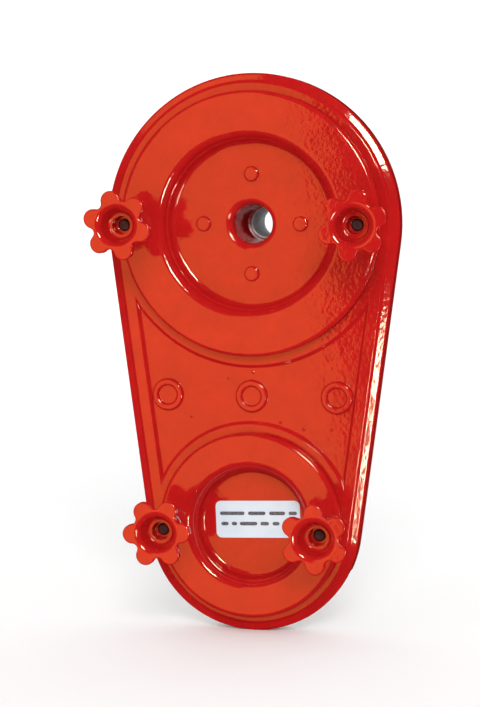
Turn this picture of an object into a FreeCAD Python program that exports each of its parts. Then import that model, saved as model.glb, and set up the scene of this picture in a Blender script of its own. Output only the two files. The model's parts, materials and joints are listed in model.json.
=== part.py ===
import FreeCAD, Part
import math
import os
import Sketcher

# Flue inspection and sampling cover: a teardrop frame plate with two round access openings, each
# closed by a dished lid that a pair of lobed knobs clamps down on studs.
#
# Every sub-part is drawn in plate coordinates and then stood upright. In plate coordinates X is to the
# right, Y is up and Z comes forward, square to the plate, from the mounting plane at Z = 0. The origin
# is on the axis of the upper opening. Standing it up turns plate Z into -Y and plate Y into +Z.

MATCH = 0.001     # how near an edge must lie to be taken for the one described, mm
STANDING = FreeCAD.Rotation(FreeCAD.Vector(1, 0, 0), 90)

doc = FreeCAD.newDocument("FlueCover")
sheet = doc.addObject("Spreadsheet::Sheet", "Sizes")

# ---------------------------------------------------------------- driving dimensions, mm

DRIVING = [
    # frame plate
    ("gauge", 1.5, "thickness of the pressed steel sheet"),
    ("drop", 148.9, "lower opening's axis below the upper one's"),
    ("upper_outline", 73.6, "outline radius round the upper axis"),
    ("lower_outline", 53.8, "outline radius round the lower axis"),
    ("skirt_back", 2.0, "back edge of the skirt, in front of the mounting plane"),
    ("land", 13.0, "front face of the frame's flat land"),
    ("border_edge", 10.9, "front of the sloping border at the outline"),
    ("border_crease", 11.8, "front of the border at its foot against the step"),
    ("crease_inset", 3.6, "foot of the step in from the outline"),
    ("step_inset", 4.8, "top of the step, where the land starts, in from the outline"),
    ("corner_round", 1.1, "rounded corner between the border and the skirt"),
    ("step_round", 0.9, "rounded top of the step"),
    ("crease_round", 0.5, "rounded foot of the step"),
    ("upper_opening", 44.0, "radius of the upper opening"),
    ("lower_opening", 30.5, "radius of the lower opening"),
    ("toe_cut_low", 171.5, "level below which the skirt is cut back, below the upper axis"),
    ("toe_cut_depth", 5.0, "how much of the skirt is cut back there"),
    # recessed web between the openings
    ("web_depth", 1.5, "depth of the web below the land"),
    ("web_slope", 1.5, "width of the web's sloping walls"),
    ("web_inset", 10.0, "web's side walls in from the outline"),
    ("web_upper_arc", 69.5, "web's top edge round the upper axis"),
    ("web_lower_arc", 50.0, "web's bottom edge round the lower axis"),
    ("button_radius", 8.0, "raised button on the web"),
    ("button_dish", 4.7, "dished middle of a button"),
    ("button_height", 1.4, "height of a button"),
    ("button_sink", 1.1, "depth of a button's dish"),
    ("button_round", 1.0, "rounded edge of a button"),
    ("button_low", 85.0, "row of buttons below the upper axis"),
    ("button_pitch", 43.0, "distance between two buttons"),
    # lids
    ("crown", 18.6, "front face of a lid's raised ring"),
    ("lid_lift", 0.2, "gap left between a closed lid's edge and the land"),
    ("upper_lid_radius", 65.0, "outer radius of the upper lid"),
    ("upper_dish_mouth", 43.2, "upper lid's dish at its mouth"),
    ("upper_dish_floor", 40.4, "upper lid's dish at its floor"),
    ("upper_dish_depth", 9.0, "depth of the upper lid's dish"),
    ("lower_lid_radius", 46.1, "outer radius of the lower lid"),
    ("lower_dish_mouth", 29.3, "lower lid's dish at its mouth"),
    ("lower_dish_floor", 26.9, "lower lid's dish at its floor"),
    ("lower_dish_depth", 10.5, "depth of the lower lid's dish"),
    ("lid_round", 1.9, "rounded outer edge of a lid"),
    ("dish_round", 2.2, "rounded edges of a dish"),
    ("ledge_drop", 4.2, "ledge part way down a dish's wall, below the crown"),
    ("ledge_in", 0.6, "outer edge of the ledge in from the dish's mouth"),
    ("ledge_width", 0.9, "width of the ledge"),
    ("ledge_fall", 0.4, "how far the ledge slopes down towards the dish's middle"),
    ("ledge_round", 0.5, "rounded edges of the ledge"),
    # gaskets
    ("soft_gap", 0.3, "clearance kept round soft parts"),
    ("seal_margin", 1.0, "seal's inner edge out from its opening"),
    ("nut_clearance", 6.6, "radius of the seals' and the gasket's holes round a nut"),
    ("gasket_gap", 0.5, "mounting gasket in from the skirt"),
    # studs, nuts and washers
    ("stud_radius", 3.0, "plain shank of an M6 stud"),
    ("thread_radius", 2.95, "crest of the stud's threads, in front and behind"),
    ("upper_stud_reach", 57.5, "upper studs each side of the upper axis"),
    ("lower_stud_reach", 39.0, "lower studs each side of the lower axis"),
    ("stud_front", 35.6, "front end of a stud"),
    ("stud_tail", 19.4, "stud standing out behind the mounting plane"),
    ("stud_point", 0.8, "chamfered end of a stud"),
    ("stud_hole", 3.4, "clearance hole for a stud"),
    ("nut_flats", 10.0, "width of an M6 nut across its flats"),
    ("lock_nut_height", 3.2, "thin nut in front of the frame"),
    ("back_nut_height", 5.0, "full nut behind the frame"),
    ("nut_corner", 0.9, "how far a nut's corners are turned down"),
    ("washer_radius", 6.0, "M6 washer"),
    ("washer_bore", 3.2, "bore of a washer"),
    ("washer_height", 1.2, "thickness of a washer"),
    ("backed_off", 5.5, "knob backed off from the lid at rest"),
    # knobs
    ("knob_height", 23.3, "knob from its foot to its rim"),
    ("foot_radius", 6.0, "knob's foot"),
    ("neck_radius", 6.4, "knob's neck below its bowl"),
    ("neck_height", 11.0, "top of the neck"),
    ("bell_radius", 11.4, "outside of the bowl where it meets the lobes"),
    ("lobe_thickness", 3.2, "thickness of the lobed rim"),
    ("lobe_radius", 4.7, "rounded tip of a lobe"),
    ("lobe_reach", 12.3, "centre of a lobe's tip from the knob's axis"),
    ("valley_round", 2.6, "rounding of the valley between two lobes"),
    ("rim_round", 0.6, "rounded edges of the lobes"),
    ("bowl_radius", 8.9, "knob's bowl at its rim, before the rim is rounded"),
    ("bowl_floor", 6.3, "knob's bowl at its floor"),
    ("bowl_depth", 8.0, "depth of the knob's bowl"),
    ("bowl_round", 3.0, "rounded rim of the bowl"),
    ("bowl_foot_round", 1.0, "rounded corner round the bowl's floor"),
    ("hub_bore", 4.4, "bore through the knob's hub"),
    ("insert_height", 9.8, "threaded insert in the hub"),
    ("insert_bore", 3.0, "insert's thread, cleared for turning"),
    # sampling port
    ("port_bore", 9.8, "lid's drawn collar, inside"),
    ("port_collar", 5.0, "depth of the lid's drawn collar"),
    ("port_round", 3.3, "rounded mouth of the port"),
    ("socket_flange", 29.0, "radius of the socket's riveted flange"),
    ("socket_throat", 8.3, "socket's inside where it meets the sleeve"),
    ("socket_depth", 31.5, "sleeve's front end behind the dish floor"),
    ("socket_grip", 6.0, "length of sleeve held in the socket"),
    ("sleeve_outer", 8.0, "sleeve, outside radius"),
    ("sleeve_bore", 7.2, "sleeve, inside radius"),
    ("sleeve_length", 26.5, "length of the sleeve"),
    ("sleeve_groove", 0.35, "depth of the groove near the sleeve's far end"),
    ("rivet_circle", 24.5, "rivets round the port"),
    ("rivet_shank", 2.0, "rivet's shank"),
    ("rivet_head", 3.8, "rivet's head"),
    ("rivet_crown", 1.2, "height of a rivet's head"),
    ("rivet_round", 0.96, "rounded edge of a rivet's head"),
    # label
    ("label_width", 43.2, "label"),
    ("label_height", 18.6, "label"),
    ("label_corner", 2.8, "label's corner radius"),
    ("label_thickness", 0.2, "label"),
    ("label_right", 2.1, "label's middle right of the lower axis"),
    ("label_up", 1.8, "label's middle above the lower axis"),
    ("label_tilt", 2.0, "degrees that the label is out of level"),
]


class Size:
    """A number together with the sheet expression that it comes from."""

    def __init__(self, number, text):
        self.number = number
        self.text = text

    def __add__(self, other):
        other = as_size(other)
        return Size(self.number + other.number, f"({self.text} + {other.text})")

    def __sub__(self, other):
        other = as_size(other)
        return Size(self.number - other.number, f"({self.text} - {other.text})")

    def __mul__(self, other):
        other = as_size(other)
        return Size(self.number * other.number, f"({self.text} * {other.text})")

    def __truediv__(self, other):
        other = as_size(other)
        return Size(self.number / other.number, f"({self.text} / {other.text})")

    def __neg__(self):
        return Size(-self.number, f"(0 - {self.text})")


def as_size(thing):
    if isinstance(thing, Size):
        return thing
    return Size(float(thing), repr(float(thing)))


class Sizes:
    """The driving dimensions by name: dim.gauge is the sheet's cell called gauge."""


dim = Sizes()
for row, (alias, value, meaning) in enumerate(DRIVING, start=1):
    sheet.set(f"A{row}", meaning)
    sheet.set(f"B{row}", str(value))
    sheet.setAlias(f"B{row}", alias)
    setattr(dim, alias, Size(value, f"Sizes.{alias}"))
doc.recompute()

ZERO = as_size(0)
CENTRE = (ZERO, ZERO)
LOWER_AXIS = (ZERO, -dim.drop)
STUD_SPOTS = {
    "upper_left": (-dim.upper_stud_reach, ZERO),
    "upper_right": (dim.upper_stud_reach, ZERO),
    "lower_left": (-dim.lower_stud_reach, -dim.drop),
    "lower_right": (dim.lower_stud_reach, -dim.drop),
}
RIVET_SPOTS = [
    (dim.rivet_circle, ZERO),
    (ZERO, dim.rivet_circle),
    (-dim.rivet_circle, ZERO),
    (ZERO, -dim.rivet_circle),
]
# How far each knob is turned from having one lobe straight out to the right, in degrees.
KNOB_TURN = {"upper_left": 45, "upper_right": 19, "lower_left": 3, "lower_right": 32}

# ---------------------------------------------------------------- sketches and features


def new_body(name):
    body = doc.addObject("PartDesign::Body", name)
    body.Label = name
    return body


def stand(item, spot, level=ZERO, turn=0.0):
    """Stand a finished sub-part upright with its own origin at a spot of the plate."""
    across, up = spot
    place = FreeCAD.Vector(across.number, -level.number, up.number)
    spin = FreeCAD.Rotation(FreeCAD.Vector(0, 0, 1), turn)
    item.Placement = FreeCAD.Placement(place, STANDING.multiply(spin))
    item.setExpression("Placement.Base.x", across.text)
    item.setExpression("Placement.Base.y", (-level).text)
    item.setExpression("Placement.Base.z", up.text)


def new_sketch(body, name, role, level=None):
    sketch = body.newObject("Sketcher::SketchObject", name)
    plane = [feature for feature in body.Origin.OriginFeatures if feature.Role == role][0]
    sketch.AttachmentSupport = [(plane, "")]
    sketch.MapMode = "FlatFace"
    if level is not None:
        sketch.setExpression("AttachmentOffset.Base.z", level.text)
    return sketch


def bind(sketch, constraint, size):
    index = sketch.addConstraint(constraint)
    sketch.setExpression(f"Constraints[{index}]", size.text)


def pin_point(sketch, geometry, which, spot):
    """Fix one point of a sketch at a spot given by two sizes."""
    across, up = spot
    if across.number == 0:
        sketch.addConstraint(Sketcher.Constraint("PointOnObject", geometry, which, -2))
    else:
        rule = Sketcher.Constraint("DistanceX", -1, 1, geometry, which, across.number)
        bind(sketch, rule, across)
    if up.number == 0:
        sketch.addConstraint(Sketcher.Constraint("PointOnObject", geometry, which, -1))
    else:
        rule = Sketcher.Constraint("DistanceY", -1, 1, geometry, which, up.number)
        bind(sketch, rule, up)


def at(spot):
    across, up = spot
    return FreeCAD.Vector(across.number, up.number, 0)


def draw_polygon(sketch, corners):
    """A closed outline of straight lines, each corner pinned to its two sizes."""
    count = len(corners)
    lines = []
    for index, corner in enumerate(corners):
        following = corners[(index + 1) % count]
        lines.append(sketch.addGeometry(Part.LineSegment(at(corner), at(following)), False))
    for index, line in enumerate(lines):
        following = lines[(index + 1) % count]
        sketch.addConstraint(Sketcher.Constraint("Coincident", line, 2, following, 1))
        pin_point(sketch, line, 1, corners[index])


def draw_circles(body, name, level, spots, radius):
    sketch = new_sketch(body, name, "XY_Plane", level)
    for spot in spots:
        circle = Part.Circle(at(spot), FreeCAD.Vector(0, 0, 1), radius.number)
        ring = sketch.addGeometry(circle, False)
        bind(sketch, Sketcher.Constraint("Radius", ring, radius.number), radius)
        pin_point(sketch, ring, 3, spot)
    return sketch


def draw_arc(sketch, spot, radius, first, last):
    circle = Part.Circle(at(spot), FreeCAD.Vector(0, 0, 1), radius.number)
    arc = sketch.addGeometry(Part.ArcOfCircle(circle, first, last), False)
    bind(sketch, Sketcher.Constraint("Radius", arc, radius.number), radius)
    pin_point(sketch, arc, 3, spot)
    return arc


def draw_line(sketch, start, end):
    return sketch.addGeometry(Part.LineSegment(start, end), False)


def polar(spot, radius, angle):
    offset = FreeCAD.Vector(math.cos(angle), math.sin(angle), 0)
    return at(spot) + offset * radius.number


# The straight flanks lean by this angle, because the two outline arcs differ in radius.
LEAN = math.asin((dim.upper_outline.number - dim.lower_outline.number) / dim.drop.number)


def draw_teardrop(body, name, level, inset):
    """The cover's outline: two arcs joined by two tangent flanks, moved in by inset."""
    sketch = new_sketch(body, name, "XY_Plane", level)
    upper = dim.upper_outline - inset
    lower = dim.lower_outline - inset
    left = math.pi + LEAN
    right = -LEAN
    top = draw_arc(sketch, CENTRE, upper, right, left)
    left_flank = draw_line(sketch, polar(CENTRE, upper, left), polar(LOWER_AXIS, lower, left))
    bottom = draw_arc(sketch, LOWER_AXIS, lower, left, 2 * math.pi + right)
    right_flank = draw_line(sketch, polar(LOWER_AXIS, lower, right), polar(CENTRE, upper, right))
    loop = [top, left_flank, bottom, right_flank]
    for index, edge in enumerate(loop):
        following = loop[(index + 1) % len(loop)]
        sketch.addConstraint(Sketcher.Constraint("Tangent", edge, 2, following, 1))
    return sketch


def draw_web(body, name, level, grow):
    """The web's outline, between both openings' lands and both flanks, moved in by grow."""
    sketch = new_sketch(body, name, "XY_Plane", level)
    upper_arc = dim.web_upper_arc + grow
    lower_arc = dim.web_lower_arc + grow
    upper_reach = dim.upper_outline - dim.web_inset - grow
    lower_reach = dim.lower_outline - dim.web_inset - grow
    upper_half = math.acos(upper_reach.number / upper_arc.number) + LEAN
    lower_half = math.acos(lower_reach.number / lower_arc.number) - LEAN
    top = draw_arc(sketch, CENTRE, upper_arc, math.pi + upper_half, 2 * math.pi - upper_half)
    bottom = draw_arc(sketch, LOWER_AXIS, lower_arc, lower_half, math.pi - lower_half)
    right = draw_line(
        sketch,
        polar(CENTRE, upper_arc, -upper_half),
        polar(LOWER_AXIS, lower_arc, lower_half))
    left = draw_line(
        sketch,
        polar(LOWER_AXIS, lower_arc, math.pi - lower_half),
        polar(CENTRE, upper_arc, math.pi + upper_half))
    loop = [top, right, bottom, left]
    for index, edge in enumerate(loop):
        following = loop[(index + 1) % len(loop)]
        sketch.addConstraint(Sketcher.Constraint("Coincident", edge, 2, following, 1))
    for side in (right, left):
        from_upper = Sketcher.Constraint("Distance", -1, 1, side, upper_reach.number)
        bind(sketch, from_upper, upper_reach)
        from_lower = Sketcher.Constraint("Distance", bottom, 3, side, lower_reach.number)
        bind(sketch, from_lower, lower_reach)
    return sketch


def pad(body, name, sketch, length, backwards=False):
    feature = body.newObject("PartDesign::Pad", name)
    feature.Profile = sketch
    feature.Length = length.number
    feature.setExpression("Length", length.text)
    feature.Reversed = backwards
    return feature


def pocket(body, name, sketch, length, forwards=False):
    """Cut towards the back of the plate, or towards its front."""
    feature = body.newObject("PartDesign::Pocket", name)
    feature.Profile = sketch
    feature.Length = length.number
    feature.setExpression("Length", length.text)
    feature.Reversed = forwards
    return feature


def turn_profile(body, name, corners, kind="PartDesign::Revolution"):
    """Turn an outline of (radius, level) corners round the body's own Z axis."""
    sketch = new_sketch(body, name + "Profile", "XZ_Plane")
    draw_polygon(sketch, corners)
    feature = body.newObject(kind, name)
    feature.Profile = sketch
    feature.ReferenceAxis = (sketch, ["V_Axis"])
    feature.Angle = 360
    return feature


def round_edges(body, name, base, size, wanted):
    """Round those edges of base for which wanted(edge) is true."""
    doc.recompute()
    picked = []
    for index, edge in enumerate(base.Shape.Edges, start=1):
        if wanted(edge):
            picked.append(f"Edge{index}")
    if not picked:
        raise RuntimeError(f"{name}: no edge to round")
    feature = body.newObject("PartDesign::Fillet", name)
    feature.Base = (base, picked)
    feature.Radius = size.number
    feature.setExpression("Radius", size.text)
    return feature


def is_ring(edge, radius, level):
    """True for a circular edge of that radius at that level."""
    curve = edge.Curve
    if curve.TypeId != "Part::GeomCircle":
        return False
    near_radius = abs(curve.Radius - radius.number) < MATCH
    near_level = abs(curve.Center.z - level.number) < MATCH
    return near_radius and near_level


def ring_test(*rings):
    def wanted(edge):
        return any(is_ring(edge, radius, level) for radius, level in rings)
    return wanted


def level_test(level):
    """True for every edge that lies flat at that level."""
    def wanted(edge):
        box = edge.BoundBox
        low = abs(box.ZMin - level.number) < MATCH
        high = abs(box.ZMax - level.number) < MATCH
        return low and high
    return wanted


def back_corner(inset, level, before, after):
    """The back of the sheet behind a corner of its front, where one slope turns into another."""
    middle = (before + after) / 2
    spread = math.cos((before - after) / 2)
    inwards = dim.gauge * (math.sin(middle) / spread)
    down = dim.gauge * (math.cos(middle) / spread)
    return inset + inwards, level - down


# ---------------------------------------------------------------- frame plate and mounting gasket

land_back = dim.land - dim.gauge
web_front = dim.land - dim.web_depth
web_back = web_front - dim.gauge
# A sheet that slopes at 45 degrees carries its back face this much further out than its front.
slope_shift = dim.gauge * (math.sqrt(2) - 1)
border_rise = dim.border_crease - dim.border_edge
step_rise = dim.land - dim.border_crease
step_run = dim.step_inset - dim.crease_inset
ALL_STUDS = list(STUD_SPOTS.values())
BUTTONS = [
    (-dim.button_pitch, -dim.button_low),
    (ZERO, -dim.button_low),
    (dim.button_pitch, -dim.button_low),
]


UPRIGHT = math.pi / 2
BORDER_LEAN = math.atan2(border_rise.number, dim.crease_inset.number)
STEP_LEAN = math.atan2(step_rise.number, step_run.number)
FRONT_CORNERS = [
    (ZERO, dim.border_edge),
    (dim.crease_inset, dim.border_crease),
    (dim.step_inset, dim.land),
]
BACK_CORNERS = [
    back_corner(ZERO, dim.border_edge, UPRIGHT, BORDER_LEAN),
    back_corner(dim.crease_inset, dim.border_crease, BORDER_LEAN, STEP_LEAN),
    back_corner(dim.step_inset, dim.land, STEP_LEAN, 0),
]


def loft_teardrops(body, name, kind, corners):
    """Straight-sided lofts from each inset and level of the outline to the next."""
    for index, (near, far) in enumerate(zip(corners, corners[1:]), start=1):
        first = draw_teardrop(body, f"{name}From{index}", near[1], near[0])
        second = draw_teardrop(body, f"{name}To{index}", far[1], far[0])
        loft = body.newObject(kind, f"{name}{index}")
        loft.Profile = first
        loft.Sections = [(second, [""])]
        loft.Ruled = True
    return loft


def draw_toe(body, name, level):
    """The part of the outline below the toe cut, as a rectangle round it."""
    sketch = new_sketch(body, name, "XY_Plane", level)
    side = dim.lower_outline
    top = -dim.toe_cut_low
    bottom = -dim.drop - dim.lower_outline - dim.gauge
    draw_polygon(sketch, [(-side, bottom), (side, bottom), (side, top), (-side, top)])
    return sketch


def make_frame_plate():
    body = new_body("frame_plate")
    outline = draw_teardrop(body, "FrameOutline", dim.skirt_back, ZERO)
    pad(body, "FrameBlock", outline, dim.border_edge - dim.skirt_back)
    block = loft_teardrops(body, "Border", "PartDesign::AdditiveLoft", FRONT_CORNERS)
    corner = round_edges(
        body, "BorderCorner", block, dim.corner_round, level_test(dim.border_edge))
    step = round_edges(body, "StepTop", corner, dim.step_round, level_test(dim.land))
    round_edges(body, "StepFoot", step, dim.crease_round, level_test(dim.border_crease))
    inside = draw_teardrop(body, "FrameInside", dim.skirt_back, dim.gauge)
    corner_back = BACK_CORNERS[0][1]
    pocket(body, "FrameHollow", inside, corner_back - dim.skirt_back, forwards=True)
    hollow = loft_teardrops(body, "BorderBack", "PartDesign::SubtractiveLoft", BACK_CORNERS)
    round_edges(
        body, "StepFootBack", hollow, dim.crease_round + dim.gauge,
        level_test(BACK_CORNERS[1][1]))
    wide = draw_web(body, "WebBackWide", land_back, -slope_shift)
    narrow = draw_web(body, "WebBackNarrow", web_back, dim.web_slope - slope_shift)
    bulge = body.newObject("PartDesign::AdditiveLoft", "WebBulge")
    bulge.Profile = wide
    bulge.Sections = [(narrow, [""])]
    bulge.Ruled = True
    wide = draw_web(body, "WebFrontWide", dim.land, ZERO)
    narrow = draw_web(body, "WebFrontNarrow", web_front, dim.web_slope)
    recess = body.newObject("PartDesign::SubtractiveLoft", "WebRecess")
    recess.Profile = wide
    recess.Sections = [(narrow, [""])]
    recess.Ruled = True
    upper = draw_circles(body, "UpperOpening", dim.land, [CENTRE], dim.upper_opening)
    pocket(body, "UpperOpeningCut", upper, dim.land)
    lower = draw_circles(body, "LowerOpening", dim.land, [LOWER_AXIS], dim.lower_opening)
    pocket(body, "LowerOpeningCut", lower, dim.land)
    holes = draw_circles(body, "StudHoles", dim.land, ALL_STUDS, dim.stud_radius)
    pocket(body, "StudHolesCut", holes, dim.land)
    buttons = draw_circles(body, "Buttons", web_front, BUTTONS, dim.button_radius)
    raised = pad(body, "ButtonsRaised", buttons, dim.button_height)
    button_top = web_front + dim.button_height
    crowned = round_edges(
        body, "ButtonEdges", raised, dim.button_round, ring_test((dim.button_radius, button_top)))
    dishes = draw_circles(body, "ButtonDishes", button_top, BUTTONS, dim.button_dish)
    sunk = pocket(body, "ButtonsSunk", dishes, dim.button_sink)
    round_edges(
        body, "ButtonDishEdges", sunk, dim.button_round, ring_test((dim.button_dish, button_top)))
    toe = draw_toe(body, "Toe", dim.skirt_back)
    pocket(body, "ToeCut", toe, dim.toe_cut_depth, forwards=True)
    stand(body, CENTRE)
    return body


def make_mounting_gasket():
    """The fibre gasket that fills the back of the frame and bears on the duct wall."""
    body = new_body("mounting_gasket")
    gap = dim.gauge + dim.gasket_gap
    outline = draw_teardrop(body, "GasketOutline", ZERO, gap)
    ledge = BACK_CORNERS[0][1] - dim.soft_gap
    pad(body, "GasketBlock", outline, ledge)
    inner = draw_teardrop(body, "GasketInner", ledge, BACK_CORNERS[2][0] + dim.gasket_gap)
    front = land_back - dim.soft_gap
    pad(body, "GasketRaised", inner, front - ledge)
    recess = draw_web(body, "GasketWeb", front, -slope_shift - dim.soft_gap)
    pocket(body, "GasketWebCut", recess, front - web_back + dim.soft_gap)
    upper = draw_circles(body, "GasketUpper", front, [CENTRE], dim.upper_opening + dim.soft_gap)
    pocket(body, "GasketUpperCut", upper, front)
    lower = draw_circles(
        body, "GasketLower", front, [LOWER_AXIS], dim.lower_opening + dim.soft_gap)
    pocket(body, "GasketLowerCut", lower, front)
    holes = draw_circles(body, "GasketNuts", front, ALL_STUDS, dim.nut_clearance)
    pocket(body, "GasketNutsCut", holes, front)
    stand(body, CENTRE)
    return body


# ---------------------------------------------------------------- lids and their seals

crown_back = dim.crown - dim.gauge
lid_edge = dim.land + dim.lid_lift


def wall_corners(mouth, floor, depth):
    """Front and back corners of a dish's wall, from its floor up over the ledge to its mouth."""
    ledge = mouth - dim.ledge_in
    ledge_front = dim.crown - dim.ledge_drop
    front = [
        (floor, dim.crown - depth),
        (ledge - dim.ledge_width, ledge_front - dim.ledge_fall),
        (ledge, ledge_front),
        (mouth, dim.crown),
    ]
    leans = [0]
    for near, far in zip(front, front[1:]):
        rise = far[1] - near[1]
        run = far[0] - near[0]
        leans.append(math.atan2(rise.number, run.number))
    leans.append(0)
    back = []
    for index, (radius, level) in enumerate(front):
        back.append(back_corner(radius, level, leans[index], leans[index + 1]))
    return front, back


def lid_corners(radius, mouth, floor, depth, middle):
    """Half section of a dished lid, from the corners at its middle out to its edge and back."""
    front, back = wall_corners(mouth, floor, depth)
    front_middle, back_middle = middle
    return [
        *front_middle,
        *front,
        (radius, dim.crown),
        (radius, lid_edge),
        (radius - dim.gauge, lid_edge),
        (radius - dim.gauge, crown_back),
        *reversed(back),
        *back_middle,
    ]


def round_lid(body, turned, radius, mouth, floor, depth):
    """Give a turned lid the rounded corners of a pressing, front and back alike."""
    front, back = wall_corners(mouth, floor, depth)
    inner_edge = (radius - dim.gauge, crown_back)
    rim = round_edges(
        body, body.Label + "Rim", turned, dim.lid_round, ring_test((radius, dim.crown)))
    rim_back = round_edges(
        body, body.Label + "RimBack", rim, dim.lid_round - dim.gauge, ring_test(inner_edge))
    tight = ring_test(front[0], back[-1])
    small = round_edges(body, body.Label + "DishTight", rim_back, dim.dish_round, tight)
    open_corners = ring_test(front[-1], back[0])
    wide = round_edges(
        body, body.Label + "DishWide", small, dim.dish_round + dim.gauge, open_corners)
    return round_edges(
        body, body.Label + "Ledge", wide, dim.ledge_round, ring_test(*front[1:-1]))


def make_upper_lid():
    body = new_body("upper_lid")
    floor_front = dim.crown - dim.upper_dish_depth
    floor_back = floor_front - dim.gauge
    collar_end = floor_front - dim.port_collar
    collar_outside = dim.port_bore + dim.gauge
    middle = (
        [(dim.port_bore, collar_end), (dim.port_bore, floor_front)],
        [(collar_outside, floor_back), (collar_outside, collar_end)],
    )
    shape = (dim.upper_lid_radius, dim.upper_dish_mouth, dim.upper_dish_floor,
             dim.upper_dish_depth)
    turned = turn_profile(body, "UpperLid", lid_corners(*shape, middle))
    rounded = round_lid(body, turned, *shape)
    round_edges(
        body, "PortMouth", rounded, dim.port_round, ring_test((dim.port_bore, floor_front)))
    spots = [(-dim.upper_stud_reach, ZERO), (dim.upper_stud_reach, ZERO)]
    holes = draw_circles(body, "UpperLidStudHoles", dim.crown, spots, dim.stud_hole)
    pocket(body, "UpperLidStudHolesCut", holes, dim.gauge)
    holes = draw_circles(body, "UpperLidRivetHoles", floor_front, RIVET_SPOTS, dim.rivet_shank)
    pocket(body, "UpperLidRivetHolesCut", holes, dim.gauge)
    stand(body, CENTRE)
    return body


def make_lower_lid():
    body = new_body("lower_lid")
    floor_front = dim.crown - dim.lower_dish_depth
    floor_back = floor_front - dim.gauge
    middle = ([(ZERO, floor_front)], [(ZERO, floor_back)])
    shape = (dim.lower_lid_radius, dim.lower_dish_mouth, dim.lower_dish_floor,
             dim.lower_dish_depth)
    turned = turn_profile(body, "LowerLid", lid_corners(*shape, middle))
    round_lid(body, turned, *shape)
    spots = [(-dim.lower_stud_reach, ZERO), (dim.lower_stud_reach, ZERO)]
    holes = draw_circles(body, "LowerLidStudHoles", dim.crown, spots, dim.stud_hole)
    pocket(body, "LowerLidStudHolesCut", holes, dim.gauge)
    stand(body, LOWER_AXIS)
    return body


def make_lid_seal(name, opening, radius, reach, axis):
    """A fibre ring under a lid's crown, rounded to clear the corner round the lid's dish, with
    a hole round each stud's lock nut."""
    body = new_body(name)
    low = dim.land + dim.soft_gap
    outside = radius - dim.gauge - dim.gasket_gap - (dim.lid_round - dim.gauge)
    ring = draw_circles(body, name + "Ring", low, [CENTRE], outside)
    pad(body, name + "Block", ring, crown_back - low)
    inside = opening + dim.seal_margin
    bore = draw_circles(body, name + "Bore", low, [CENTRE], inside)
    bored = pocket(body, name + "BoreCut", bore, crown_back - low, forwards=True)
    round_edges(body, name + "Corner", bored, dim.dish_round, ring_test((inside, crown_back)))
    spots = [(-reach, ZERO), (reach, ZERO)]
    holes = draw_circles(body, name + "Holes", low, spots, dim.nut_clearance)
    pocket(body, name + "HolesCut", holes, crown_back - low, forwards=True)
    stand(body, axis)
    return body


# ---------------------------------------------------------------- studs, nuts and washers


def make_stud(name, spot):
    """A rod with a plain shank where the nuts grip the frame, and a thread at each end."""
    body = new_body(name)
    neck = dim.thread_radius - dim.stud_point
    tail = -dim.stud_tail
    shank_front = dim.land + dim.lock_nut_height
    turn_profile(body, name + "Rod", [
        (ZERO, tail),
        (neck, tail),
        (dim.thread_radius, tail + dim.stud_point),
        (dim.thread_radius, ZERO),
        (dim.stud_radius, ZERO),
        (dim.stud_radius, shank_front),
        (dim.thread_radius, shank_front),
        (dim.thread_radius, dim.stud_front - dim.stud_point),
        (neck, dim.stud_front),
        (ZERO, dim.stud_front),
    ])
    stand(body, spot)
    return body


def set_size(item, name, size):
    setattr(item, name, size.number)
    item.setExpression(name, size.text)


# A hexagon turned by this much has flats, not corners, to its left and right.
FLAT_TURN = FreeCAD.Rotation(FreeCAD.Vector(0, 0, 1), 30)


def set_base(item, spot, level):
    across, up = spot
    base = FreeCAD.Vector(across.number, up.number, level.number)
    item.Placement = FreeCAD.Placement(base, FLAT_TURN)
    item.setExpression("Placement.Base.x", across.text)
    item.setExpression("Placement.Base.y", up.text)
    item.setExpression("Placement.Base.z", level.text)


def make_nut(name, spot, low, height):
    """A hexagon nut: a prism whose corners are turned down at both ends, bored for the stud."""
    corner = dim.nut_flats / math.sqrt(3)
    prism = doc.addObject("Part::Prism", name + "Hexagon")
    prism.Polygon = 6
    set_size(prism, "Circumradius", corner)
    set_size(prism, "Height", height)
    disc = doc.addObject("Part::Cylinder", name + "Disc")
    set_size(disc, "Radius", corner)
    set_size(disc, "Height", height)
    bore = doc.addObject("Part::Cylinder", name + "Bore")
    set_size(bore, "Radius", dim.stud_radius)
    set_size(bore, "Height", height)
    for piece in (prism, disc, bore):
        set_base(piece, spot, low)
    doc.recompute()
    rims = [index for index, edge in enumerate(disc.Shape.Edges, start=1)
            if edge.Curve.TypeId == "Part::GeomCircle"]
    turned = doc.addObject("Part::Chamfer", name + "Turned")
    turned.Base = disc
    down = dim.nut_corner.number
    turned.Edges = [(index, down / 2, down) for index in rims]
    hexagon = doc.addObject("Part::Common", name + "Blank")
    hexagon.Base = prism
    hexagon.Tool = turned
    nut = doc.addObject("Part::Cut", name)
    nut.Base = hexagon
    nut.Tool = bore
    return nut


def make_nuts(name, low, height):
    """One nut on each of the four studs, as a group of separate solids."""
    nuts = []
    for place, spot in STUD_SPOTS.items():
        nuts.append(make_nut(f"{name}_{place}", spot, low, height))
    group = doc.addObject("Part::Compound", name)
    group.Label = name
    group.Links = nuts
    stand(group, CENTRE)
    return group


washer_low = dim.crown + dim.backed_off
knob_foot = washer_low + dim.washer_height


def make_washer(name, spot):
    body = new_body(name)
    turn_profile(body, name + "Ring", [
        (dim.washer_bore, ZERO),
        (dim.washer_radius, ZERO),
        (dim.washer_radius, dim.washer_height),
        (dim.washer_bore, dim.washer_height),
    ])
    stand(body, spot, washer_low)
    return body


# ---------------------------------------------------------------- knobs

LOBES = 6
DIGITS = 12    # keeps a lobe on an axis exactly on it


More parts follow.
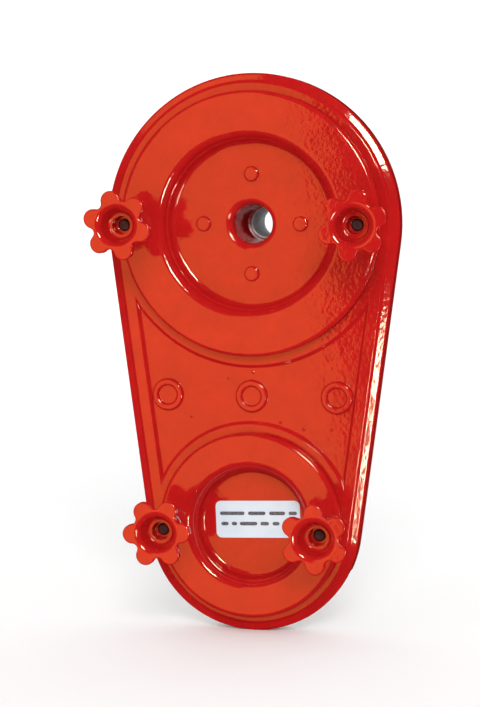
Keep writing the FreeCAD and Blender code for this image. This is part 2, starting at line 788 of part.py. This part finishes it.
def draw_lobed_rim(body, name, level):
    """Six rounded lobes joined by rounded valleys, each arc tangent to its neighbours."""
    sketch = new_sketch(body, name, "XY_Plane", level)
    half_step = math.pi / LOBES
    touch = dim.lobe_radius.number + dim.valley_round.number
    reach = dim.lobe_reach.number
    chord_reach = reach * math.cos(half_step)
    valley_reach = chord_reach + math.sqrt(touch ** 2 - (reach * math.sin(half_step)) ** 2)
    rise = valley_reach * math.sin(half_step)
    run = valley_reach * math.cos(half_step) - reach
    lean = math.atan2(rise, run)
    tips = []
    valleys = []
    for index in range(LOBES):
        angle = 2 * half_step * index
        across = dim.lobe_reach * round(math.cos(angle), DIGITS)
        up = dim.lobe_reach * round(math.sin(angle), DIGITS)
        tips.append(draw_arc(
            sketch, (across, up), dim.lobe_radius, angle - lean, angle + lean))
        between = angle + half_step
        middle = FreeCAD.Vector(math.cos(between), math.sin(between), 0) * valley_reach
        circle = Part.Circle(middle, FreeCAD.Vector(0, 0, 1), dim.valley_round.number)
        first = between + half_step + math.pi - lean
        last = between - half_step + math.pi + lean
        valley = sketch.addGeometry(Part.ArcOfCircle(circle, first, last), False)
        rule = Sketcher.Constraint("Radius", valley, dim.valley_round.number)
        bind(sketch, rule, dim.valley_round)
        valleys.append(valley)
    for index, tip in enumerate(tips):
        following = tips[(index + 1) % LOBES]
        sketch.addConstraint(Sketcher.Constraint("Tangent", tip, 2, valleys[index], 2))
        sketch.addConstraint(Sketcher.Constraint("Tangent", valleys[index], 1, following, 1))
    return sketch


def make_knob(name, spot, turn):
    body = new_body(name)
    under_lobes = dim.knob_height - dim.lobe_thickness
    bell = turn_profile(body, name + "Bell", [
        (ZERO, ZERO),
        (dim.foot_radius, ZERO),
        (dim.neck_radius, dim.neck_height),
        (dim.bell_radius, under_lobes),
        (ZERO, under_lobes),
    ])
    round_edges(
        body, name + "BellWaist", bell, dim.bowl_depth,
        ring_test((dim.neck_radius, dim.neck_height)))
    rim = draw_lobed_rim(body, name + "Rim", under_lobes)
    lobed = pad(body, name + "RimPad", rim, dim.lobe_thickness)
    round_edges(body, name + "RimEdges", lobed, dim.rim_round, level_test(dim.knob_height))
    floor = dim.knob_height - dim.bowl_depth
    bowl = turn_profile(body, name + "Bowl", [
        (ZERO, floor),
        (dim.bowl_floor, floor),
        (dim.bowl_radius, dim.knob_height),
        (ZERO, dim.knob_height),
    ], kind="PartDesign::Groove")
    rimmed = round_edges(
        body, name + "BowlRim", bowl, dim.bowl_round,
        ring_test((dim.bowl_radius, dim.knob_height)))
    round_edges(
        body, name + "BowlFoot", rimmed, dim.bowl_foot_round, ring_test((dim.bowl_floor, floor)))
    bore = draw_circles(body, name + "Bore", ZERO, [CENTRE], dim.hub_bore)
    pocket(body, name + "BoreCut", bore, dim.knob_height, forwards=True)
    stand(body, spot, knob_foot, turn)
    return body


def make_insert(name, spot, turn):
    body = new_body(name)
    turn_profile(body, name + "Bush", [
        (dim.insert_bore, ZERO),
        (dim.hub_bore, ZERO),
        (dim.hub_bore, dim.insert_height),
        (dim.insert_bore, dim.insert_height),
    ])
    stand(body, spot, knob_foot, turn)
    return body


# ---------------------------------------------------------------- sampling port

dish_front = dim.crown - dim.upper_dish_depth
dish_back = dish_front - dim.gauge
sleeve_front = dish_front - dim.socket_depth


def make_port_socket():
    """A drawn cup riveted behind the upper lid; its throat narrows to hold the sleeve."""
    body = new_body("port_socket")
    collar = dim.port_bore + dim.gauge
    collar_end = dish_front - dim.port_collar
    end = sleeve_front - dim.socket_grip
    outside = collar + dim.gauge
    turned = turn_profile(body, "Socket", [
        (collar, dish_back),
        (dim.socket_flange, dish_back),
        (dim.socket_flange, dish_back - dim.gauge),
        (outside, dish_back - dim.gauge),
        (outside, collar_end),
        (dim.socket_throat + dim.gauge, sleeve_front),
        (dim.socket_throat + dim.gauge, end),
        (dim.sleeve_outer, end),
        (dim.sleeve_outer, sleeve_front),
        (dim.socket_throat, sleeve_front),
        (dim.port_bore, collar_end),
        (collar, collar_end),
    ])
    round_edges(
        body, "SocketCorner", turned, dim.gauge, ring_test((outside, dish_back - dim.gauge)))
    holes = draw_circles(body, "SocketRivetHoles", dish_back, RIVET_SPOTS, dim.rivet_shank)
    pocket(body, "SocketRivetHolesCut", holes, dim.gauge)
    stand(body, CENTRE)
    return body


def make_port_sleeve():
    body = new_body("port_sleeve")
    far_end = sleeve_front - dim.sleeve_length
    groove_low = far_end + dim.socket_grip / 2
    groove_high = groove_low + dim.gauge
    groove = dim.sleeve_bore + dim.sleeve_groove
    turn_profile(body, "Sleeve", [
        (dim.sleeve_bore, sleeve_front),
        (dim.sleeve_outer, sleeve_front),
        (dim.sleeve_outer, far_end),
        (dim.sleeve_bore, far_end),
        (dim.sleeve_bore, groove_low),
        (groove, groove_low),
        (groove, groove_high),
        (dim.sleeve_bore, groove_high),
    ])
    stand(body, CENTRE)
    return body


def make_port_rivets():
    """Four rivets through the lid and the socket's flange, as a group of separate solids."""
    body = new_body("port_rivets")
    body.AllowCompound = True
    sketch = new_sketch(body, "RivetProfile", "XZ_Plane")
    flange_back = dish_back - dim.gauge
    reach = dim.rivet_circle
    draw_polygon(sketch, [
        (reach, flange_back - dim.rivet_crown),
        (reach + dim.rivet_head, flange_back - dim.rivet_crown),
        (reach + dim.rivet_head, flange_back),
        (reach + dim.rivet_shank, flange_back),
        (reach + dim.rivet_shank, dish_front),
        (reach + dim.rivet_head, dish_front),
        (reach + dim.rivet_head, dish_front + dim.rivet_crown),
        (reach, dish_front + dim.rivet_crown),
    ])
    rivet = body.newObject("PartDesign::Revolution", "Rivet")
    rivet.Profile = sketch
    rivet.ReferenceAxis = (sketch, [f"Edge{len(sketch.Geometry)}"])
    rivet.Angle = 360
    rings = ring_test(
        (dim.rivet_head, dish_front + dim.rivet_crown),
        (dim.rivet_head, flange_back - dim.rivet_crown))
    domed = round_edges(body, "RivetDomes", rivet, dim.rivet_round, rings)
    circle = draw_circles(body, "RivetAxis", dish_front, [CENTRE], dim.rivet_shank)
    group = body.newObject("PartDesign::PolarPattern", "Rivets")
    group.Originals = [rivet, domed]
    group.Axis = (circle, ["N_Axis"])
    group.Angle = 360
    group.Occurrences = len(RIVET_SPOTS)
    body.Tip = group
    stand(body, CENTRE)
    return body


def make_label():
    """A plain sticker with rounded corners on the lower lid's dish floor."""
    body = new_body("label")
    low = dim.crown - dim.lower_dish_depth
    sketch = new_sketch(body, "LabelOutline", "XY_Plane", ZERO)
    side = dim.label_width / 2
    top = dim.label_height / 2
    draw_polygon(sketch, [(-side, -top), (side, -top), (side, top), (-side, top)])
    card = pad(body, "LabelCard", sketch, dim.label_thickness)

    def is_corner(edge):
        return edge.BoundBox.ZLength > MATCH
    round_edges(body, "LabelCorners", card, dim.label_corner, is_corner)
    spot = (dim.label_right, dim.label_up - dim.drop)
    stand(body, spot, low, dim.label_tilt.number)
    return body


# ---------------------------------------------------------------- the whole cover

sub_parts = [
    make_frame_plate(),
    make_mounting_gasket(),
    make_upper_lid(),
    make_lower_lid(),
    make_lid_seal("upper_lid_seal", dim.upper_opening, dim.upper_lid_radius,
                  dim.upper_stud_reach, CENTRE),
    make_lid_seal("lower_lid_seal", dim.lower_opening, dim.lower_lid_radius,
                  dim.lower_stud_reach, LOWER_AXIS),
    make_nuts("stud_lock_nuts", dim.land, dim.lock_nut_height),
    make_nuts("stud_back_nuts", land_back - dim.back_nut_height, dim.back_nut_height),
    make_port_socket(),
    make_port_sleeve(),
    make_port_rivets(),
    make_label(),
]
for place, spot in STUD_SPOTS.items():
    sub_parts.append(make_stud(f"stud_{place}", spot))
    sub_parts.append(make_washer(f"knob_washer_{place}", spot))
    sub_parts.append(make_knob(f"knob_{place}", spot, KNOB_TURN[place]))
    sub_parts.append(make_insert(f"knob_insert_{place}", spot, KNOB_TURN[place]))
doc.recompute()

for item in doc.Objects:
    if "Invalid" in item.State or "Error" in item.State:
        raise RuntimeError(f"{item.Label} did not recompute: {item.State}")

os.makedirs("parts", exist_ok=True)
for item in sub_parts:
    shape = item.Shape
    if shape.isNull() or not shape.isValid():
        raise RuntimeError(f"{item.Label} has no valid shape")
    shape.exportStep(f"parts/{item.Label}.step")
    print(f"{item.Label}: {len(shape.Solids)} solid(s), {shape.Volume:.1f} mm3")
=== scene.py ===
import bpy
import json
import math
import random
from mathutils import Euler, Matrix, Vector


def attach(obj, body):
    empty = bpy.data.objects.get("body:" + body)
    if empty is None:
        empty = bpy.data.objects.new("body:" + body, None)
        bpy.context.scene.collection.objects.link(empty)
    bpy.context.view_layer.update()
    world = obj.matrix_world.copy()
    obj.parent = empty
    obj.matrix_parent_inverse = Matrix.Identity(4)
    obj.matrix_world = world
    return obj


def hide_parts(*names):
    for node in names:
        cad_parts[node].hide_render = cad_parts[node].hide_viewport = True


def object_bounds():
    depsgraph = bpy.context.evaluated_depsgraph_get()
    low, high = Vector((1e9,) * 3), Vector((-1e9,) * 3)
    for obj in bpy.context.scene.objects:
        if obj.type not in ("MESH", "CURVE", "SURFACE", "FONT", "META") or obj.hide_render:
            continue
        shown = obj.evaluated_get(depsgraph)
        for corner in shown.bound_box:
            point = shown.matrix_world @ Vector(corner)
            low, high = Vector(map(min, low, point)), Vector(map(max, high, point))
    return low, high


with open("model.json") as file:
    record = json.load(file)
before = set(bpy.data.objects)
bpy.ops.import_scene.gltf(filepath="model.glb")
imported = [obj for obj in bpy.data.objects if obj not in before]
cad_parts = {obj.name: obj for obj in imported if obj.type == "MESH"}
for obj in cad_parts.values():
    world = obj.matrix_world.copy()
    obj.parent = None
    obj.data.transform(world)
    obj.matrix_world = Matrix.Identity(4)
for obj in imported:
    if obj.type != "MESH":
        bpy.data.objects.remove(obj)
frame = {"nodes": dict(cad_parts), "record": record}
cad_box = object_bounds()

# ---------------------------------------------------------------- materials


def new_material(name):
    material = bpy.data.materials.new(name)
    material.use_nodes = True
    tree = material.node_tree
    shader = tree.nodes["Principled BSDF"]
    return material, tree, shader


def add_noise(tree, scale, detail=2.0, rough=0.5):
    coords = tree.nodes.new("ShaderNodeTexCoord")
    noise = tree.nodes.new("ShaderNodeTexNoise")
    noise.inputs["Scale"].default_value = scale
    noise.inputs["Detail"].default_value = detail
    noise.inputs["Roughness"].default_value = rough
    tree.links.new(coords.outputs["Object"], noise.inputs["Vector"])
    return noise.outputs["Fac"]


def add_soft_corners(tree, radius):
    """A normal that rounds every sharp edge by that radius, as thick enamel does."""
    bevel = tree.nodes.new("ShaderNodeBevel")
    bevel.samples = 6
    bevel.inputs["Radius"].default_value = radius
    return bevel.outputs["Normal"]


def add_bump(tree, height, distance, under=None):
    bump = tree.nodes.new("ShaderNodeBump")
    bump.inputs["Strength"].default_value = 1.0
    bump.inputs["Distance"].default_value = distance
    tree.links.new(height, bump.inputs["Height"])
    if under is not None:
        tree.links.new(under, bump.inputs["Normal"])
    return bump.outputs["Normal"]


def add_ramp(tree, value, low, high, first, last):
    ramp = tree.nodes.new("ShaderNodeMapRange")
    ramp.inputs["From Min"].default_value = low
    ramp.inputs["From Max"].default_value = high
    ramp.inputs["To Min"].default_value = first
    ramp.inputs["To Max"].default_value = last
    tree.links.new(value, ramp.inputs["Value"])
    return ramp.outputs["Result"]


def mix_colours(tree, amount, first, second):
    mix = tree.nodes.new("ShaderNodeMix")
    mix.data_type = "RGBA"
    mix.inputs["A"].default_value = (*first, 1)
    mix.inputs["B"].default_value = (*second, 1)
    tree.links.new(amount, mix.inputs["Factor"])
    return mix.outputs["Result"]


def make_enamel():
    material, tree, shader = new_material("red_enamel")
    cloud = add_noise(tree, scale=60, detail=8.0, rough=0.8)
    tint = add_ramp(tree, cloud, low=0.3, high=0.7, first=0.0, last=1.0)
    colour = mix_colours(tree, tint, (0.41, 0.0073, 0.0080), (0.53, 0.0118, 0.0104))
    tree.links.new(colour, shader.inputs["Base Color"])
    gloss = add_ramp(tree, add_noise(tree, scale=900), low=0.3, high=0.7, first=0.045, last=0.085)
    tree.links.new(gloss, shader.inputs["Roughness"])
    corners = add_soft_corners(tree, radius=0.0006)
    waves = add_bump(tree, add_noise(tree, scale=70, detail=1.0), distance=0.00010, under=corners)
    peel = add_bump(tree, add_noise(tree, scale=480, detail=1.5), distance=0.00005, under=waves)
    tree.links.new(peel, shader.inputs["Normal"])
    shader.inputs["Specular Tint"].default_value = (1.0, 0.86, 0.55, 1)
    return material


def make_metal(name, metallic, dark, light, rough_low, rough_high, scale, shine):
    material, tree, shader = new_material(name)
    shader.inputs["Metallic"].default_value = metallic
    shader.inputs["Specular IOR Level"].default_value = shine
    cloud = add_noise(tree, scale=scale, detail=4.0, rough=0.6)
    blotch = add_ramp(tree, cloud, low=0.35, high=0.65, first=0.0, last=1.0)
    tree.links.new(mix_colours(tree, blotch, dark, light), shader.inputs["Base Color"])
    fine = add_noise(tree, scale=scale * 3, detail=3.0)
    rough = add_ramp(tree, fine, low=0.3, high=0.7, first=rough_low, last=rough_high)
    tree.links.new(rough, shader.inputs["Roughness"])
    bump = add_bump(tree, add_noise(tree, scale=scale * 6, detail=3.0), distance=0.00003)
    tree.links.new(bump, shader.inputs["Normal"])
    return material


def make_zinc():
    return make_metal(
        "zinc_plated_steel", metallic=0.2, dark=(0.54, 0.57, 0.59), light=(0.80, 0.83, 0.85),
        rough_low=0.3, rough_high=0.5, scale=500, shine=0.5)


def make_steel_with_painted_shade():
    # The steel's dark red-brown colour, much darker and redder than bare steel, is painted shade and painted
    # red reflection, for the stud ends deep in the knobs' red holes.
    return make_metal(
        "bare_steel", metallic=0.1, dark=(0.030, 0.008, 0.008), light=(0.085, 0.020, 0.020),
        rough_low=0.5, rough_high=0.7, scale=400, shine=0.15)


def make_fibre():
    material, tree, shader = new_material("fibre_board")
    pulp = add_noise(tree, scale=700, detail=5.0, rough=0.7)
    fleck = add_ramp(tree, pulp, low=0.35, high=0.65, first=0.0, last=1.0)
    colour = mix_colours(tree, fleck, (0.44, 0.42, 0.36), (0.58, 0.55, 0.49))
    tree.links.new(colour, shader.inputs["Base Color"])
    shader.inputs["Roughness"].default_value = 0.9
    bump = add_bump(tree, add_noise(tree, scale=1500, detail=4.0), distance=0.0002)
    tree.links.new(bump, shader.inputs["Normal"])
    return material


def make_sticker():
    material, tree, shader = new_material("label_stock")
    cloud = add_ramp(tree, add_noise(tree, scale=90), low=0.3, high=0.7, first=0.0, last=1.0)
    colour = mix_colours(tree, cloud, (0.62, 0.76, 0.85), (0.70, 0.80, 0.87))
    tree.links.new(colour, shader.inputs["Base Color"])
    shader.inputs["Roughness"].default_value = 0.42
    bump = add_bump(tree, add_noise(tree, scale=130), distance=0.00012)
    tree.links.new(bump, shader.inputs["Normal"])
    return material


def make_ink():
    material, tree, shader = new_material("label_ink")
    grain = add_noise(tree, scale=1400, detail=3.0)
    worn = add_ramp(tree, grain, low=0.35, high=0.7, first=0.0, last=1.0)
    colour = mix_colours(tree, worn, (0.035, 0.04, 0.05), (0.16, 0.18, 0.20))
    tree.links.new(colour, shader.inputs["Base Color"])
    shader.inputs["Roughness"].default_value = 0.5
    return material


finishes = {
    "red_enamel": make_enamel(),
    "zinc_plated_steel": make_zinc(),
    "bare_steel": make_steel_with_painted_shade(),
    "fibre_board": make_fibre(),
    "label_stock": make_sticker(),
}
for part in frame["record"]["subparts"]:
    obj = frame["nodes"][part["node"]]
    for place in obj.material_slots:
        place.material = finishes[part["material_slot"]]

# ---------------------------------------------------------------- pieces with more detail than the CAD

# The plate stands in the X-Z plane and its front faces -Y. A depth is the distance in front of Y = 0.
WEB_DEPTH = 0.0115
LABEL_DEPTH = 0.0083
DROP = 0.1489
UPPER_REACH, LOWER_REACH = 0.0575, 0.039
STUDS = {
    "upper_left": (-UPPER_REACH, 0.0),
    "upper_right": (UPPER_REACH, 0.0),
    "lower_left": (-LOWER_REACH, -DROP),
    "lower_right": (LOWER_REACH, -DROP),
}


def add_mesh(name, corners, faces, smooth=False):
    mesh = bpy.data.meshes.new(name)
    mesh.from_pydata(corners, [], faces)
    if smooth:
        mesh.shade_smooth()
    obj = bpy.data.objects.new(name, mesh)
    bpy.context.collection.objects.link(obj)
    return obj


def finish_piece(obj, body, finish, node=None):
    obj.data.materials.append(finishes[finish])
    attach(obj, body)
    if node is not None:
        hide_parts(node)
    return obj


PITCH = 0.001
CREST, ROOT, SHANK = 0.00295, 0.00242, 0.003
POINT = 0.0008
TAIL, SHANK_START, SHANK_END, FRONT = -0.0194, 0.0, 0.0162, 0.0356
SHANK_EDGE = 0.00001
ROUND = 32
RINGS_PER_PITCH = 8
ROOT_FLAT, FLANK_WIDTH = 0.12, 0.72


def thread_radius(depth, turn, low, high):
    """Radius of a thread at a depth along the stud, fading out towards both its ends."""
    phase = (depth / PITCH - turn) % 1.0
    wave = abs(2 * phase - 1)
    flank = min(max((wave - ROOT_FLAT) / FLANK_WIDTH, 0.0), 1.0)
    radius = ROOT + (CREST - ROOT) * flank
    to_end = min(depth - low, high - depth)
    point = CREST - POINT + max(to_end, 0.0)
    return min(radius, point)


def thread_rings(start, end, low, high):
    """Depths of the rings of one thread, each with the depths between which the thread fades in and out."""
    step = PITCH / RINGS_PER_PITCH
    count = round((end - start) / step)
    return [(start + index * step, (low, high)) for index in range(count + 1)]


def make_stud(place):
    """An M6 stud: thread, plain shank, thread, as rings of one skin from tail to front."""
    across, up = STUDS[place]
    rings = thread_rings(TAIL, SHANK_START, TAIL, SHANK_START + POINT)
    rings.append((SHANK_START + SHANK_EDGE, None))
    rings.append((SHANK_END - SHANK_EDGE, None))
    rings += thread_rings(SHANK_END, FRONT, SHANK_END - POINT, FRONT)
    corners, faces = [], []
    for depth, span in rings:
        for index in range(ROUND):
            turn = index / ROUND
            radius = SHANK if span is None else thread_radius(depth, turn, *span)
            angle = 2 * math.pi * turn
            corners.append((
                across + radius * math.cos(angle), -depth, up + radius * math.sin(angle)))
    for ring in range(len(rings) - 1):
        for index in range(ROUND):
            here = ring * ROUND + index
            after = ring * ROUND + (index + 1) % ROUND
            faces.append((here, here + ROUND, after + ROUND, after))
    tail = list(range(ROUND))
    front = [(len(rings) - 1) * ROUND + index for index in reversed(range(ROUND))]
    faces += [tail, front]
    stud = add_mesh("thread_" + place, corners, faces, smooth=True)
    for face in stud.data.polygons:
        face.use_smooth = len(face.vertices) == 4
    return finish_piece(stud, "frame", "bare_steel", "stud_" + place)


for place in STUDS:
    make_stud(place)


# Across, up and radius of each bead, in millimetres.
BEADS = [
    (0.8, -73.0, 0.9),
    (14.5, -97.8, 0.8),
    (26.3, -100.8, 0.9),
    (40.5, -100.8, 0.7),
    (-31.0, -96.0, 0.5),
    (-12.0, -76.5, 0.5),
]
BEAD_SINK = 0.00005


def make_drips():
    """Small beads of dried enamel on the web."""
    chance = random.Random(7)
    slices, stacks = 20, 6
    corners, faces = [], []
    for bead in BEADS:
        across, up, wide = (size / 1000 for size in bead)
        tall = wide * chance.uniform(0.42, 0.55)
        stretch = chance.uniform(1.0, 1.25)
        first = len(corners)
        corners.append((across, -WEB_DEPTH - tall, up))
        for stack in range(1, stacks + 1):
            lean = math.pi / 2 * stack / stacks
            sink = BEAD_SINK if stack == stacks else 0
            for index in range(slices):
                angle = 2 * math.pi * index / slices
                corners.append((
                    across + wide * math.sin(lean) * math.cos(angle),
                    -WEB_DEPTH - tall * math.cos(lean) + sink,
                    up + wide * stretch * math.sin(lean) * math.sin(angle)))
        for index in range(slices):
            after = (index + 1) % slices
            faces.append((first, first + 1 + index, first + 1 + after))
            for stack in range(stacks - 1):
                near = first + 1 + stack * slices
                faces.append((near + index, near + slices + index,
                              near + slices + after, near + after))
        base = first + 1 + (stacks - 1) * slices
        faces.append([base + index for index in reversed(range(slices))])
    drips = add_mesh("enamel_drips", corners, faces, smooth=True)
    return finish_piece(drips, "frame", "red_enamel")


make_drips()


LABEL_MIDDLE = (0.0021, 0.0018 - DROP)
LABEL_LEAN = math.radians(2)
# Height of each row of bars, then the left and right end of each bar, in millimetres from the label's middle.
PRINT_ROWS = [
    (3.0, [(-19.5, -6.8), (-5.0, 4.0), (5.8, 14.0), (15.8, 20.0)]),
    (-2.2, [(-19.0, -15.2), (-13.6, -10.8), (-9.4, -0.4), (1.2, 5.6), (7.4, 11.0), (12.8, 19.0)]),
]
BAR_RADIUS, BAR_HALF_DEPTH, BAR_STEPS = 0.0009, 0.00003, 8


def bar_outline(left, right, height):
    """A bar with round ends, anticlockwise from the bottom of its right end."""
    outline = []
    ends = [(right - BAR_RADIUS, -math.pi / 2), (left + BAR_RADIUS, math.pi / 2)]
    for centre, start in ends:
        for index in range(BAR_STEPS + 1):
            angle = start + math.pi * index / BAR_STEPS
            outline.append((
                centre + BAR_RADIUS * math.cos(angle), height + BAR_RADIUS * math.sin(angle)))
    return outline


def make_print():
    """Rows of plain printed bars on the label."""
    middle_x, middle_z = LABEL_MIDDLE
    corners, faces = [], []
    for row, bars in PRINT_ROWS:
        for left, right in bars:
            first = len(corners)
            outline = bar_outline(left / 1000, right / 1000, row / 1000)
            for x, z in outline:
                across = middle_x + x * math.cos(LABEL_LEAN) - z * math.sin(LABEL_LEAN)
                up = middle_z + x * math.sin(LABEL_LEAN) + z * math.cos(LABEL_LEAN)
                corners.append((across, -LABEL_DEPTH - BAR_HALF_DEPTH, up))
                corners.append((across, -LABEL_DEPTH + BAR_HALF_DEPTH, up))
            count = len(outline)
            faces.append([first + 2 * index for index in range(count)])
            faces.append([first + 2 * index + 1 for index in reversed(range(count))])
            for index in range(count):
                after = (index + 1) % count
                faces.append((first + 2 * index, first + 2 * index + 1,
                              first + 2 * after + 1, first + 2 * after))
    bars = add_mesh("label_print", corners, faces)
    bars.data.materials.append(make_ink())
    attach(bars, "lower_lid")
    return bars


make_print()

# ---------------------------------------------------------------- camera, floor and lights

CAMERA_PLACE = (0.225, -0.929, 0.019)
CAMERA_AIM = (-0.0055, -0.013, -0.0638)
CAMERA_ROLL = math.radians(-0.3)


def turn_to(spot, target, roll):
    """Euler angles that point a camera or a lamp from a spot at a target, then roll it."""
    facing = (Vector(target) - Vector(spot)).to_track_quat("-Z", "Y")
    return (facing @ Euler((0, 0, roll)).to_quaternion()).to_euler()


def make_camera():
    data = bpy.data.cameras.new("camera")
    data.lens = 97.8
    data.sensor_width = 36
    camera = bpy.data.objects.new("camera", data)
    bpy.context.collection.objects.link(camera)
    camera.location = CAMERA_PLACE
    camera.rotation_euler = turn_to(CAMERA_PLACE, CAMERA_AIM, CAMERA_ROLL)
    return camera


bpy.context.scene.camera = make_camera()


def make_sweep():
    """A pale floor that curves up into the backdrop."""
    floor = cad_box[0][2]
    back, bend, half, near, top = 1.6, 0.5, 12.0, -12.0, 2.4
    bend_steps = 12
    rows = [(near, floor), (back - bend, floor)]
    for step in range(1, bend_steps + 1):
        turn = math.pi / 2 * step / bend_steps
        rows.append((back - bend + bend * math.sin(turn), floor + bend - bend * math.cos(turn)))
    rows.append((back, top))
    corners = []
    for y, z in rows:
        corners += [(-half, y, z), (half, y, z)]
    faces = [(2 * i, 2 * i + 1, 2 * i + 3, 2 * i + 2) for i in range(len(rows) - 1)]
    sweep = add_mesh("sweep", corners, faces, smooth=True)
    sweep.visible_glossy = False
    material, tree, shader = new_material("sweep")
    shader.inputs["Base Color"].default_value = (0.95, 0.95, 0.95, 1)
    shader.inputs["Roughness"].default_value = 0.9
    sweep.data.materials.append(material)


def make_surround():
    """A white ring far behind everything, seen only by the camera, so that every side looks the same."""
    radius, below, high, sides = 11.5, 0.2, 7.0, 96
    low = cad_box[0][2] - below
    corners = []
    for index in range(sides):
        angle = 2 * math.pi * index / sides
        corners.append((radius * math.cos(angle), radius * math.sin(angle), low))
        corners.append((radius * math.cos(angle), radius * math.sin(angle), high))
    faces = []
    for index in range(sides):
        after = (index + 1) % sides
        faces.append((2 * index, 2 * index + 1, 2 * after + 1, 2 * after))
    surround = add_mesh("surround", corners, faces, smooth=True)
    material, tree, shader = new_material("surround")
    shader.inputs["Base Color"].default_value = (0, 0, 0, 1)
    shader.inputs["Emission Color"].default_value = (1, 1, 1, 1)
    shader.inputs["Emission Strength"].default_value = 1.0
    surround.data.materials.append(material)
    surround.visible_diffuse = False
    surround.visible_glossy = False
    surround.visible_transmission = False
    surround.visible_shadow = False


make_sweep()
make_surround()


def add_panel(name, spot, target, size, radiance, roll=0.0, colour=(1, 1, 1)):
    """A soft box with its middle at a spot, facing a target, as bright as its radiance."""
    width, height = size
    data = bpy.data.lights.new(name, "AREA")
    data.shape = "RECTANGLE"
    data.size = width
    data.size_y = height
    data.energy = radiance * math.pi * width * height
    data.color = colour
    panel = bpy.data.objects.new(name, data)
    bpy.context.collection.objects.link(panel)
    panel.location = spot
    panel.rotation_euler = turn_to(spot, target, roll)
    return panel


def add_sheen():
    """A warm panel seen only in reflections: its right edge ends the orange sheen on the flat faces."""
    across, near, up = -0.60, -1.2, 0.10
    sheen = add_panel(
        "front_left", (across, near, up), (across, 0.0, up), (0.78, 1.5), radiance=3.2,
        roll=math.radians(5.4), colour=(1.0, 0.40, 0.14))
    sheen.visible_diffuse = False


def add_key():
    """The main light, hidden from reflections."""
    data = bpy.data.lights.new("key", "SUN")
    data.energy = 1.25
    data.angle = math.radians(24)
    key = bpy.data.objects.new("key", data)
    bpy.context.collection.objects.link(key)
    key.rotation_euler = Vector((-0.22, 0.8, -0.5)).to_track_quat("-Z", "Y").to_euler()
    key.visible_glossy = False


def add_window(name, spot, size):
    """A window: one panel for its sharp reflection, and a weaker one for its light."""
    target = (0, 0, -0.05)
    glint = add_panel(name + "_glint", spot, target, size, radiance=80)
    glint.visible_diffuse = False
    fill = add_panel(name + "_fill", spot, target, size, radiance=6)
    fill.visible_glossy = False


add_sheen()
add_key()
add_window("front_right_high", (0.373, -1.2, 0.41), (0.27, 0.27))
add_window("front_right_low", (0.515, -1.2, -0.361), (0.13, 0.254))


def make_world():
    """An even white sky, hidden from reflections."""
    world = bpy.data.worlds.new("studio")
    world.use_nodes = True
    sky = world.node_tree.nodes["Background"]
    sky.inputs["Color"].default_value = (1, 1, 1, 1)
    sky.inputs["Strength"].default_value = 0.8
    world.cycles_visibility.glossy = False
    return world


bpy.context.scene.world = make_world()
bpy.context.scene.view_settings.view_transform = "Standard"
